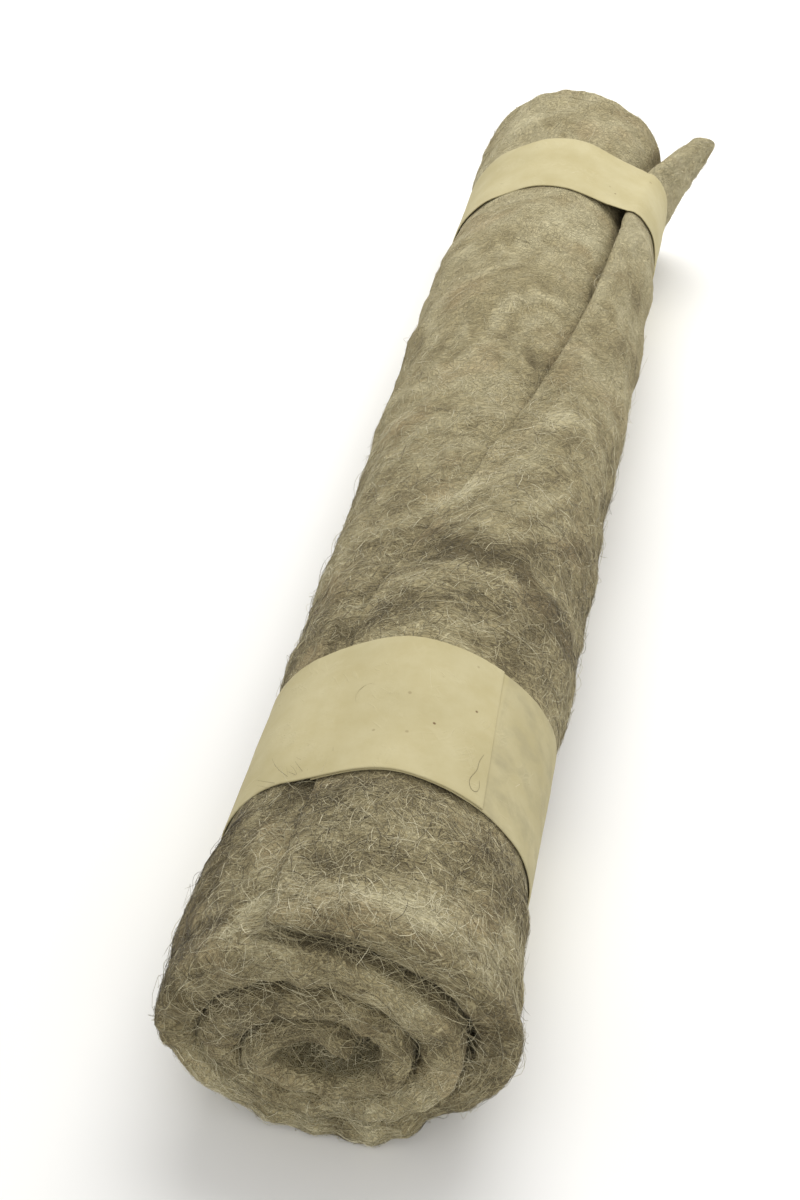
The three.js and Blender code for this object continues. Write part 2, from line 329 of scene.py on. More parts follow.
def through_table(column, along):
    """A smooth curve through one column of the free edge's table, by Catmull-Rom."""
    at, value = FREE_EDGE[:, ALONG], FREE_EDGE[:, column]
    last = len(at) - 1
    i = np.clip(np.searchsorted(at, along, side="left") - 1, 0, last - 1)
    before, after = np.maximum(i - 1, 0), np.minimum(i + 2, last)
    near, span, a, b = at[i], at[i + 1] - at[i], value[i], value[i + 1]
    t = np.clip((along - near) / span, 0.0, 1.0)
    slope_a = (b - value[before]) / (at[i + 1] - at[before]) * span
    slope_b = (value[after] - a) / (at[after] - near) * span
    return (
        a * (2 * t**3 - 3 * t**2 + 1)
        + slope_a * (t**3 - 2 * t**2 + t)
        + b * (3 * t**2 - 2 * t**3)
        + slope_b * (t**3 - t**2)
    )


def ripples(u, v, seed, wavelength, stretch=1.0, lean=0.0, waves=22):
    """Smooth even noise of about unit size: long waves in many directions. It is stretched along a lean."""
    rng = np.random.default_rng(seed)
    along = (u * math.cos(lean) + v * math.sin(lean)) / stretch
    across = -u * math.sin(lean) + v * math.cos(lean)
    total = np.zeros(np.broadcast(u, v).shape)
    for _ in range(waves):
        direction = rng.uniform(0.0, math.tau)
        length = wavelength * math.exp(rng.normal(0.0, 0.35))
        phase = rng.uniform(0.0, math.tau)
        way = along * math.cos(direction) + across * math.sin(direction)
        total += np.cos(math.tau / length * way + phase)
    return total * math.sqrt(2.0 / waves)


def layered(u, v, table, level=0.0):
    """A level with several ripples on it, each row being how high they are and what ripples() takes."""
    for height, *kind in table:
        level = level + height * ripples(u, v, *kind)
    return level


def ellipse_reach(half_long, half_short, angle):
    return np.hypot(half_long * cosd(angle), half_short * sind(angle))


def eye_reach(angle):
    return ellipse_reach(EYE_HALF_LONG, EYE_HALF_SHORT, angle - EYE_TILT) - EYE_DROP * sind(angle)


def under_band(along):
    """1 under a paper band, 0 clear of it."""
    away = np.full(np.shape(along), np.inf)
    for _, start, width, *_ in BANDS:
        one = np.maximum(start - BAND_MARGIN - along, along - start - width - BAND_MARGIN)
        away = np.minimum(away, np.maximum(one, 0.0))
    return fading(away, 0.0, SQUEEZE_REACH)


class Winding:
    """The winding at each place along the roll, as in the CAD source. along is a column of values."""

    def __init__(self, along):
        self.along = along
        slip = through_table(SLIP, along)
        self.end = FREE_EDGE_ANGLE + 360.0 * FULL_TURNS - slip
        past_top = smoothstep(slip, 0.0, TOP_BLEND)
        top_turn = self.outward(90.0 + 360.0 * (FULL_TURNS - past_top))
        right, left, under = (self.outward(self.last(angle)) for angle in (0.0, 180.0, 270.0))
        thick_under = FELT_THICK * (1.0 - PRESSED)
        self.half_wide = self.half_axis(ROLL_WIDTH - FELT_THICK, (right, 0.0), (left, 180.0))
        height = ROLL_HEIGHT + FLAT_DEPTH - (FELT_THICK + thick_under) / 2.0
        self.half_high = self.half_axis(height, (top_turn, 90.0), (under, 270.0))
        self.middle_x = (self.reach(self.last(180.0)) - self.reach(self.last(0.0))) / 2.0
        self.middle_z = self.reach(self.last(270.0)) + thick_under / 2.0 - FLAT_DEPTH

    def outward(self, angle):
        return (angle - INNER_EDGE_ANGLE) / (self.end - INNER_EDGE_ANGLE)

    def last(self, angle):
        return angle + 360.0 * np.floor((self.end - angle) / 360.0)

    @staticmethod
    def half_axis(size, *sides):
        """The outer ellipse's half axis that gives this size between two sides, each (share, angle)."""
        eye = sum((1.0 - share) * eye_reach(angle) for share, angle in sides)
        return (size - eye) / sum(share for share, _ in sides)

    def fuller(self, angle, share):
        turned = np.minimum(1.0, share / (1.0 - 1.0 / FULL_TURNS)) ** 2
        total = 0.0
        for towards, out, wide, at, reach in SHAPE:
            off = np.abs((angle - towards + 180.0) % 360.0 - 180.0)
            swell = np.where(off < wide, cosd(90.0 * off / wide) ** 2, 0.0)
            total = total + out * swell * fading(np.abs(self.along - at), reach / 2.0, reach)
        return total * turned

    def reach(self, angle):
        share = self.outward(angle)
        outer = ellipse_reach(self.half_wide, self.half_high, angle)
        return (1.0 - share) * eye_reach(angle) + share * outer + self.fuller(angle, share)

    def angle_of(self, share):
        full = FREE_EDGE_ANGLE + 360.0 * FULL_TURNS
        steady = INNER_EDGE_ANGLE + (full - INNER_EDGE_ANGLE) * np.minimum(share, STEADY_SHARE)
        following = np.maximum(0.0, share - STEADY_SHARE) / (1.0 - STEADY_SHARE)
        return steady + (self.end - steady) * following

    def thick_at(self, angle):
        """How thick the sheet is, and how far its middle moves out where it thins on one side."""
        pressed = 1.0 - PRESSED * np.maximum(0.0, -sind(angle))
        near_free_edge = fading(self.end - angle, 0.0, TAPER_ANGLE)
        near_eye = fading(angle - INNER_EDGE_ANGLE, 0.0, INNER_TAPER_ANGLE)
        off_outside = (FELT_THICK - through_table(THICK, self.along)) * near_free_edge * pressed
        off_inside = (FELT_THICK - INNER_EDGE_THICK) * near_eye * pressed
        return FELT_THICK * pressed - off_outside - off_inside, (off_inside - off_outside) / 2.0

    def room_inside(self, angle):
        """How far it is inwards from the sheet's middle to the outer face of the turn inside it."""
        before = angle - 360.0
        there = before >= INNER_EDGE_ANGLE
        pitch = self.reach(angle) - self.reach(before)
        thick, shift = self.thick_at(before)
        return np.where(there, pitch + self.thick_at(angle)[1] - shift - thick / 2.0, np.inf)


def middle_of_sheet(winding, angle):
    """x and z of the middle of the sheet's thickness."""
    step = 0.5
    slope = (winding.reach(angle + step) - winding.reach(angle - step)) / math.radians(2.0 * step)
    over = through_table(OVER, winding.along)
    lifted = np.maximum(0.0, 1.0 - (winding.end - angle) / over) ** 2
    away = winding.reach(angle) + through_table(LIFT, winding.along) * lifted + winding.thick_at(angle)[1]
    x = away * cosd(angle) - slope * sind(angle) + winding.middle_x
    z = away * sind(angle) + slope * cosd(angle) + winding.middle_z
    near = FLARE_NEAR * np.maximum(0.0, 1.0 - winding.along / FLARE_REACH) ** FLARE_POWER
    far = FLARE_FAR * np.maximum(0.0, 1.0 - (ROLL_LENGTH - winding.along) / FLARE_REACH) ** FLARE_POWER
    x = np.where(x > 0.0, x + (near + far) * (x / (ROLL_WIDTH / 2.0)) ** 2, x)
    keep = 1.0 - SQUEEZE * under_band(winding.along)
    middle = ROLL_HEIGHT / 2.0
    return x * keep, (z - middle) * keep + middle


def cut_back(before_end):
    """1 on the part of the last turn that is cut back at the open end, for degrees before the free edge."""
    return smoothstep(CUT_BACK_ANGLE - before_end, -CUT_BACK_EASE, CUT_BACK_EASE)


def rolled_edges(share, beyond):
    """How far the two ends lie back for each column. beyond is the way to the free edge, in mm."""
    before_end = (1.0 - share) * WOUND
    from_corner = np.minimum(beyond, CORNER_RADIUS)
    corner = CORNER_RADIUS - np.sqrt(CORNER_RADIUS**2 - (CORNER_RADIUS - from_corner) ** 2)
    wave = EDGE_WAVE * np.sin(math.tau * (EDGE_WAVE_AT_END - before_end / EDGE_WAVE_ANGLE))
    stands_out = EYE_STANDS_OUT * (1.0 - share)
    cut = LAST_TURN_CUT_BACK * cut_back(before_end)
    near = cut - stands_out * (1.0 - share) + wave * (1.0 - share) + corner * CORNER_NEAR_SHARE
    return near, stands_out - wave + corner


def rounding(distance, radius, power=ROUNDING_POWER):
    """How much of the full thickness is left this far from a rounded edge."""
    off = 1.0 - np.clip(distance / radius, 0.0, 1.0)
    return (1.0 - off**power) ** (1.0 / power)


def rim_distances(radius):
    return radius * (1.0 - np.cos(np.linspace(0.0, math.pi / 2.0, RIM_STEPS + 1)))


def sheet_rows():
    """The rows' places along the roll, finer at the two ends."""
    rim = rim_distances(RIM_RADIUS)
    ends = np.arange(RIM_RADIUS + ROW_STEP_AT_ENDS, ENDS_REACH, ROW_STEP_AT_ENDS)
    near = np.concatenate([rim, ends])
    far = ROLL_LENGTH - near[::-1]
    count = int((far[0] - near[-1]) / ROW_STEP)
    return np.concatenate([near, np.linspace(near[-1], far[0], count + 1)[1:-1], far])


def sheet_shares():
    """The columns' places along the winding, finer on the last turn and round the two cut edges."""
    mm_per_share = math.radians(WOUND) * ROLL_WIDTH / 2.0
    edge = rim_distances(RIM_RADIUS) / mm_per_share
    inside = np.linspace(edge[-1] * INNER_RIM_SPREAD, OUTSIDE_FROM_SHARE, COLUMNS_INSIDE)
    outside = np.linspace(OUTSIDE_FROM_SHARE, 1.0 - edge[-1], COLUMNS_OUTSIDE)[1:-1]
    return np.concatenate([edge * INNER_RIM_SPREAD, inside[1:], outside, 1.0 - edge[::-1]])


def grid_normals(points):
    """Unit normals of a grid of points, on the side where rows run up and columns run to the right."""
    normal = np.cross(np.gradient(points, axis=0), np.gradient(points, axis=1))
    size = np.linalg.norm(normal, axis=2, keepdims=True)
    return normal / np.maximum(size, 1e-9)


def fleece_patches(direction, along):
    """The listed patches, for places on the outer turn."""
    wander = FLEECE_WANDER * ripples(direction * 0.4, along, 16, 9.0)
    total = 0.0
    for towards, at, half_round, half_along, lean, lighter in FLEECE:
        arc = ((direction - towards + 180.0) % 360.0 - 180.0) * math.radians(FLEECE_RADIUS) + wander
        up = along - at + wander
        p = arc * cosd(lean) + up * sind(lean)
        q = up * cosd(lean) - arc * sind(lean)
        total = total + lighter * np.exp(-((p / half_round) ** 2) - (q / half_along) ** 2)
    return total


def marl(u, v):
    """How light the wool is, about 0.5, at a place on the flat sheet: long soft patches of mixed fleece."""
    bend_u = u + MARL_BEND * ripples(u, v, 11, MARL_BEND_LENGTH)
    bend_v = v + MARL_BEND * ripples(u, v, 12, MARL_BEND_LENGTH)
    return layered(bend_u, bend_v, MARL, 0.5)


class FeltSheet:
    """The detailed felt, as two grids of points in mm: its outer and inner face, which meet at the edges."""

    def __init__(self):
        self.along = sheet_rows()
        self.share = sheet_shares()
        winding = Winding(self.along[:, None])
        angle = winding.angle_of(self.share[None, :])
        self.before_end = winding.end - angle
        self.end_angle = winding.end[:, 0]
        x, z = middle_of_sheet(winding, angle)
        slope_x, slope_z = np.gradient(x, axis=1), np.gradient(z, axis=1)
        along_winding = np.hypot(slope_x, slope_z)
        beyond = np.cumsum(along_winding[:, ::-1], axis=1)[:, ::-1] - along_winding
        beyond[:, -1] = 0.0
        self.u = np.cumsum(along_winding[len(self.along) // 2])[None, :] + 0.0 * beyond
        self.v = self.along[:, None] + 0.0 * beyond
        # How light the wool is, with painted shade and painted light in it as well as the mixed fleece.
        self.marl = self.fleece(angle)
        self.under = under_band(self.v)
        self.hairy = HAIRY_FAR + (1.0 - HAIRY_FAR) * fading(self.v, *HAIRY_ALONG)
        full, self.half, inwards = self.depths(winding, angle, beyond)
        y = self.ends_placed(beyond) - ROLL_LENGTH / 2.0
        floor = (PAPER_CLEAR + PAPER_THICK + PAPER_ABOVE_FLOOR) * self.under
        faces = []
        for way, depth, lumps in zip((1.0, -1.0), (self.half, inwards), self.lumps()):
            off = (way * depth + lumps * full) / along_winding
            faces.append(np.stack([x + slope_z * off, y, np.maximum(z - slope_x * off, floor)], axis=2))
        self.outer, self.inner = faces

    def depths(self, winding, angle, beyond):
        """What the rounded edges leave of the thickness, and how thick the sheet is outwards and inwards."""
        from_ends = np.minimum(self.v, ROLL_LENGTH - self.v)
        blunt = np.where(self.v < ROLL_LENGTH / 2.0, ROUNDING_POWER, ROUNDING_POWER_FAR)
        full = rounding(from_ends, RIM_RADIUS, blunt) * rounding(self.u - self.u[:, :1], RIM_RADIUS)
        softer = SOFT_EDGE * smoothstep(self.v, *SOFT_EDGE_FROM) * fading(self.v, *SOFT_EDGE_TO)
        even = winding.thick_at(angle)[0] / 2.0
        room = winding.room_inside(angle)
        room = np.where(np.isfinite(room), room - TOUCHING_GAP, even)
        filled = FILLED_INSIDE + (1.0 - FILLED_INSIDE) * smoothstep(angle, *TOUCHING_FROM)
        filling = np.maximum(0.0, room - even) * filled * (self.before_end > TAPER_ANGLE)
        outwards = even * full * rounding(beyond, RIM_RADIUS + softer)
        return full, outwards, (even + filling) * full * rounding(beyond, RIM_RADIUS)

    def one_turn(self):
        """How much of the sheet one outer turn takes up, for each row."""
        turns = [np.interp(-360.0, -row, self.u[0]) for row in self.before_end]
        return (self.u[0, -1] - np.array(turns))[:, None]

    def edge_hidden(self):
        """1 where the free edge is felted on and doesn't show."""
        return smoothstep(self.v, *EDGE_HIDDEN_FROM) * fading(self.v, *EDGE_HIDDEN_TO)

    def run_on(self, pattern):
        """A pattern of u and v that meets itself across the free edge where that lies hidden."""
        blend = self.edge_hidden() * smoothstep(self.before_end, 360.0 - EDGE_HIDDEN_OVER, 358.0)
        return pattern(self.u, self.v) * (1.0 - blend) + pattern(self.u + self.one_turn(), self.v) * blend

    def fleece(self, angle):
        """How light the wool is at each point, from 0 to 1, painted shade and painted light included."""
        before, v = self.before_end, self.v
        even = (self.run_on(marl) - 0.5) * (1.0 - FLEECE_CALMER * smoothstep(v, *CALMER_ALONG))
        patches = fleece_patches(angle % 360.0, v) * fading(before, *OUTER_TURN_ENDS)
        inner_rims = INNER_RIMS_DARKER * smoothstep(before, *INNER_RIMS_START)
        # The rims at the open end: partly darker fleece, partly painted shade; the rim that is cut back gets
        # painted shade for its crevice.
        rims = fading(v, *RIM_ALONG) * (RIM_DARKER + CUT_RIM_DARKER * cut_back(before) + inner_rims)
        # Painted shade towards the open end, where the light falls off.
        darker = OPEN_END_SHADE * fading(v, *DARKER_ALONG) + rims
        # The turn that the cut back lays bare: a painted highlight along its rim and painted shade at the
        # step behind it.
        behind = smoothstep(v, *BEHIND_RIM_ALONG)
        bared = smoothstep(before, *BARED_STARTS) * fading(before, *BARED_ENDS)
        lighter = bared * (BARED_LIGHTER * (1.0 - behind) - BARED_DARKER * behind)
        # Painted light on the lower side at the open end.
        below = smoothstep(-sind(angle), *BELOW_SLOPE) * fading(v, *BELOW_ALONG)
        # Painted light towards the far end, added to the painted light below.
        lighter = lighter + BELOW_LIGHTER * below + FAR_LIGHTER * smoothstep(v, *LIGHTER_ALONG)
        return np.clip(0.5 + even + FLEECE_CONTRAST * patches - darker + lighter, 0.0, 1.0)

    def ends_placed(self, beyond):
        """How far along the roll each point is, once the two ends wave, stand out and are cut back."""
        near, far = rolled_edges(self.share[None, :], beyond)
        near = near + END_ROUGH * ripples(self.u, 0.0 * self.v, 21, END_ROUGH_LENGTH)
        far = far + END_ROUGH * ripples(self.u, 0.0 * self.v, 22, END_ROUGH_LENGTH)
        towards_near = np.maximum(0.0, 1.0 - self.v / EDGE_REACH)
        towards_far = np.maximum(0.0, 1.0 - (ROLL_LENGTH - self.v) / EDGE_REACH)
        return self.v + near * towards_near - far * towards_far

    def lumps(self):
        """How far the outer and the inner face stand off the even sheet."""
        free = 1.0 - PRESSED_FLAT * self.under
        exposed = smoothstep(self.share[None, :], OUTSIDE_FROM_SHARE, OUTSIDE_FULL_SHARE)
        soft = self.run_on(lambda u, v: layered(u, v, LUMPS_OUTSIDE))
        inside = layered(self.u, self.v, LUMPS_INSIDE)
        outer = inside + (soft - inside) * exposed
        return outer * free - OUTSIDE_SUNK * exposed, inside * free

    def outer_at(self, along):
        """The outer face's points at one place along the roll."""
        row = int(np.clip(np.searchsorted(self.along, along) - 1, 0, len(self.along) - 2))
        t = (along - self.along[row]) / (self.along[row + 1] - self.along[row])
        line = self.outer[row] * (1.0 - t) + self.outer[row + 1] * t
        seen = self.before_end[row] < OUTER_TURN + 1.0
        return line[seen][:, [0, 2]]


def new_mesh_object(name, points, quads, material):
    """A mesh object from points in mm and quads, linked into the scene."""
    mesh = bpy.data.meshes.new(name)
    points = np.asarray(points, float).reshape(-1, 3) * MM
    quads = np.asarray(quads, np.int32).reshape(-1, 4)
    mesh.vertices.add(len(points))
    mesh.vertices.foreach_set("co", points.ravel())
    mesh.loops.add(quads.size)
    mesh.loops.foreach_set("vertex_index", quads.ravel())
    mesh.polygons.add(len(quads))
    mesh.polygons.foreach_set("loop_start", np.arange(0, quads.size, 4, dtype=np.int32))
    mesh.polygons.foreach_set("use_smooth", np.full(len(quads), True))
    mesh.materials.append(material)
    mesh.update(calc_edges=True)
    obj = bpy.data.objects.new(name, mesh)
    bpy.context.scene.collection.objects.link(obj)
    return obj


def set_attribute(obj, name, values, kind="FLOAT"):
    attribute = obj.data.attributes.new(name, kind, "POINT")
    field = "value" if kind == "FLOAT" else "vector"
    attribute.data.foreach_set(field, np.asarray(values, np.float32).ravel())


def grid_quads(grid):
    return np.stack([grid[:-1, :-1], grid[1:, :-1], grid[1:, 1:], grid[:-1, 1:]], axis=-1).reshape(-1, 4)


def slab_quads(rows, columns):
    """The quads of a closed slab of two grids that share their border. The outer points come first."""
    outer = np.arange(rows * columns).reshape(rows, columns)
    inner = outer.copy()
    inner[1:-1, 1:-1] = rows * columns + np.arange((rows - 2) * (columns - 2)).reshape(rows - 2, -1)
    return np.concatenate([grid_quads(outer), grid_quads(inner)[:, ::-1]])


def slab_values(outer, inner):
    """The values of a slab's points, in the order of slab_quads."""
    tail = outer.shape[2:]
    return np.concatenate([outer.reshape(-1, *tail), inner[1:-1, 1:-1].reshape(-1, *tail)])


def build_felt(sheet, material):
    rows, columns = sheet.u.shape
    obj = new_mesh_object(
        "felt_roll", slab_values(sheet.outer, sheet.inner), slab_quads(rows, columns), material
    )
    set_attribute(obj, "marl", slab_values(sheet.marl, sheet.marl))
    set_attribute(obj, "hairy", slab_values(sheet.hairy, sheet.hairy))
    flat = [np.stack([sheet.u, sheet.v, way * sheet.half], axis=2) for way in (1.0, -1.0)]
    set_attribute(obj, "unrolled", slab_values(*flat) * MM, "FLOAT_VECTOR")
    return obj


# What a patch keeps of each point: place, normal, tone, how far it is under a band, and spacings.
POINT, NORMAL = slice(0, 3), slice(3, 6)
LIGHT, UNDER, UP, RIGHT = range(6, 10)


class Patch:
    """A grid of a surface on which fibres lie. dense says how thickly they grow in each place."""

    def __init__(self, points, marl, under=0.0, dense=1.0):
        up = np.linalg.norm(np.gradient(points, axis=0), axis=2)
        right = np.linalg.norm(np.gradient(points, axis=1), axis=2)
        single = [np.broadcast_to(value, up.shape)[:, :, None] for value in (marl, under, up, right)]
        self.values = np.concatenate([points, grid_normals(points), *single], axis=2)
        area = (up * right * dense)[:-1, :-1]
        self.chance = np.cumsum(area.ravel()) / area.sum()

    def places(self, rng, count):
        cell = np.searchsorted(self.chance, rng.uniform(0.0, 1.0, count))
        row, column = np.divmod(np.minimum(cell, len(self.chance) - 1), self.values.shape[1] - 1)
        return row + rng.uniform(0.0, 1.0, count), column + rng.uniform(0.0, 1.0, count)

    def at(self, row, column):
        """The values at places given by fractional row and column."""
        i = np.clip(row.astype(int), 0, self.values.shape[0] - 2)
        j = np.clip(column.astype(int), 0, self.values.shape[1] - 2)
        a, b = np.clip(row - i, 0.0, 1.0)[:, None], np.clip(column - j, 0.0, 1.0)[:, None]
        v = self.values
        here = v[i, j] * (1 - b) + v[i, j + 1] * b
        above = v[i + 1, j] * (1 - b) + v[i + 1, j + 1] * b
        return here * (1 - a) + above * a


def face_patch(sheet):
    """A patch across the open end, from the eye to the outer turn, just in front of the turns' edges."""
    degrees = np.arange(0.0, 361.0, FACE_STEP)
    wound = sheet.end_angle[0] - sheet.before_end[0]
    turns = []
    for turn in range(FULL_TURNS + 1):
        angle = np.clip(degrees + 360.0 * turn, INNER_EDGE_ANGLE, sheet.end_angle[0])
        turns.append(np.stack([np.interp(angle, wound, sheet.outer[0, :, k]) for k in range(3)], axis=1))
    return Patch(np.array(turns), FACE_LIGHT)


def over_edge(one, other, deep, axis=0):
    """The last rows or columns of one grid, up to an edge, and then those of another, back from it."""
    one, other = (np.moveaxis(grid, axis, 0)[-deep:] for grid in (one, other))
    return np.moveaxis(np.concatenate([one, other[:-1][::-1]]), 0, axis)


def felt_patches(sheet):
    """The felt's outer face, its two rolled ends, its free edge, and a tuft beside the near band."""
    seen = (sheet.before_end < OUTER_TURN) & (sheet.under <= UNDER_BAND)
    outer = Patch(sheet.outer, sheet.marl, sheet.under, seen * sheet.hairy)
    pairs = (sheet.outer, sheet.inner), (sheet.marl, sheet.marl), (sheet.under, sheet.under)
    near = Patch(*(over_edge(one[::-1], other[::-1], END_ROWS)[::-1] for one, other in pairs[:2]))
    far = Patch(*(over_edge(*pair, END_ROWS) for pair in pairs[:2]))
    points, light, under = (over_edge(*pair, EDGE_COLUMNS, axis=1) for pair in pairs)
    shows = (sheet.hairy * (1.0 - HIDDEN_BARER * sheet.edge_hidden()))[:, :1]
    edge = Patch(points, light, under, (under <= UNDER_BAND) * shows)
    direction = (sheet.end_angle[:, None] - sheet.before_end) % 360.0
    by_band = sheet.before_end < 360.0
    for value, middle, reach in zip((sheet.v, direction), TUFT, TUFT_REACH):
        by_band = by_band & (np.abs(value - middle) < reach)
    tuft = Patch(sheet.outer, sheet.marl, 0.0, by_band)
    return outer, near, far, edge, tuft


@dataclass
class Layer:
    """Fibres on a patch. Lengths, widths and heights are in mm, curl is in radians for each mm.

    lift is how far the middle rises, or the tip of a fibre with a free end. spread is how far they stray from
    the way of the winding, in radians, and None where they lie every way.
    """

    patch: Patch
    count: int
    length: tuple
    curl: float = 0.22
    lift: float = 0.35
    width: tuple = (0.045, 0.10)
    sides: int = 2
    steps: int = 5
    free_end: bool = False
    spread: float = None
    tone: float = 0.0


def fibre_paths(layer, rng):
    """Wandering lines on a layer's patch: points, surface normals, and how light each fibre is."""
    count, steps = layer.count, layer.steps
    row, column = layer.patch.places(rng, count)
    heading = rng.uniform(0.0, math.tau, count)
    if layer.spread is not None:
        heading = rng.normal(0.0, layer.spread, count) + math.pi * rng.integers(0, 2, count)
    bend = rng.normal(0.0, layer.curl, count)
    low, high = layer.length
    total = np.exp(rng.uniform(math.log(low), math.log(high), count))
    rise = layer.lift * rng.uniform(0.15, 1.0, count) ** 2
    points, normals = [], []
    for k in range(steps):
        here = layer.patch.at(row, column)
        if k == 0:
            light = here[:, LIGHT]
        t = k / (steps - 1)
        shape = t**1.6 if layer.free_end else math.sin(math.pi * min(1.0, t * 1.02))
        height = (rise * shape - FIBRE_ROOT) * (1.0 - FIBRE_PRESSED * here[:, UNDER])
        points.append(here[:, POINT] + here[:, NORMAL] * height[:, None])
        normals.append(here[:, NORMAL])
        step = total / (steps - 1)
        row = row + np.sin(heading) * step / np.maximum(here[:, UP], LEAST_SPACING)
        column = column + np.cos(heading) * step / np.maximum(here[:, RIGHT], LEAST_SPACING)
        bend = bend + rng.normal(0.0, layer.curl * 0.5, count)
        heading = heading + bend * step
    points = np.stack(points, axis=1)
    points[:, :, 2] = np.maximum(points[:, :, 2], FIBRE_ABOVE_FLOOR)
    return points, np.stack(normals, axis=1), light


def ribbons(points, normals, width, rng, sides):
    """Thin strips along the paths: flat with 2 sides, or round with 3. Returns points and quads."""
    count, steps, _ = points.shape
    tangent = np.gradient(points, axis=1)
    tangent /= np.maximum(np.linalg.norm(tangent, axis=2, keepdims=True), 1e-9)
    side = np.cross(tangent, normals)
    side /= np.maximum(np.linalg.norm(side, axis=2, keepdims=True), 1e-9)
    top = np.cross(side, tangent)
    t = np.linspace(-1.0, 1.0, steps)
    slim = np.sqrt(1.0 - 0.9 * t**4)[None, :] * width[:, None] / 2.0
    twist = rng.uniform(-0.9, 0.9, count)
    corners = []
    for k in range(sides):
        turn = (twist + math.tau * k / sides)[:, None, None]
        corners.append(points + (np.cos(turn) * side + np.sin(turn) * top) * slim[:, :, None])
    strip = np.stack(corners, axis=2)
    numbers = np.arange(count * steps * sides).reshape(count, steps, sides)
    quads = []
    for k in range(sides if sides > 2 else 1):
        a, b = numbers[:, :, k], numbers[:, :, (k + 1) % sides]
        quads.append(np.stack([a[:, :-1], a[:, 1:], b[:, 1:], b[:, :-1]], axis=2).reshape(-1, 4))
    return strip.reshape(-1, 3), np.concatenate(quads)


def build_fibres(name, layers, material, seed):
    """One piece of joined fibres."""
    rng = np.random.default_rng(seed)
    all_points, all_quads, all_tones, start = [], [], [], 0
    for layer in layers:
        points, normals, light = fibre_paths(layer, rng)
        widths = rng.uniform(*layer.width, layer.count)
        strip, quads = ribbons(points, normals, widths, rng, layer.sides)
        along = points[:, 0, 1] + ROLL_LENGTH / 2.0
        varied = FIBRE_TONES * (1.0 - CALM_FAR * smoothstep(along, *CALM_ALONG))
        # Each fibre follows how light the wool below it is, painted shade and painted light included.
        tone = FIBRE_LEVEL + FIBRE_FOLLOWS * (light - 0.5) + layer.tone + rng.normal(0.0, varied)
        all_points.append(strip)
        all_quads.append(quads + start)
        all_tones.append(np.repeat(np.clip(tone, 0.0, 1.0), layer.steps * layer.sides))
        start += len(strip)
    obj = new_mesh_object(name, np.concatenate(all_points), np.concatenate(all_quads), material)
    set_attribute(obj, "tone", np.concatenate(all_tones))
    return obj


def tight_outline(points):
    """The points that a tight string round them would touch, anticlockwise."""
    order = sorted(map(tuple, points))

    def half(run):
        kept = []
        for p in run:
            while len(kept) > 1:
                (ox, oy), (ax, ay) = kept[-2], kept[-1]
                if (ax - ox) * (p[1] - oy) - (ay - oy) * (p[0] - ox) > 0.0:
                    break
                kept.pop()
            kept.append(p)
        return kept[:-1]

    return np.array(half(order) + half(order[::-1]))


def radius_towards(line, angles):
    """How far the outermost of a line's points is from the roll's middle line, in each direction."""
    closed = np.concatenate([line, line[:1]])
    dense = []
    for a, b in zip(closed[:-1], closed[1:]):
        pieces = max(1, int(np.hypot(*(b - a)) / POLAR_STEP) + 1)
        dense.append(a + (b - a) * (np.arange(pieces) / pieces)[:, None])
    dense = np.concatenate(dense) - (0.0, ROLL_HEIGHT / 2.0)
    polar = np.degrees(np.arctan2(dense[:, 1], dense[:, 0])) % 360.0
    furthest = np.zeros(360)
    np.maximum.at(furthest, polar.astype(int) % 360, np.hypot(*dense.T))
    there = furthest > 0.0
    middles = np.arange(360) + 0.5
    return np.interp(angles % 360.0, middles[there], furthest[there], period=360.0)


def running_mean(values, reach):
    """The mean over this many values on either side."""
    padded = np.pad(values, reach, mode="edge")
    return np.convolve(padded, np.full(2 * reach + 1, 1.0 / (2 * reach + 1)), mode="valid")


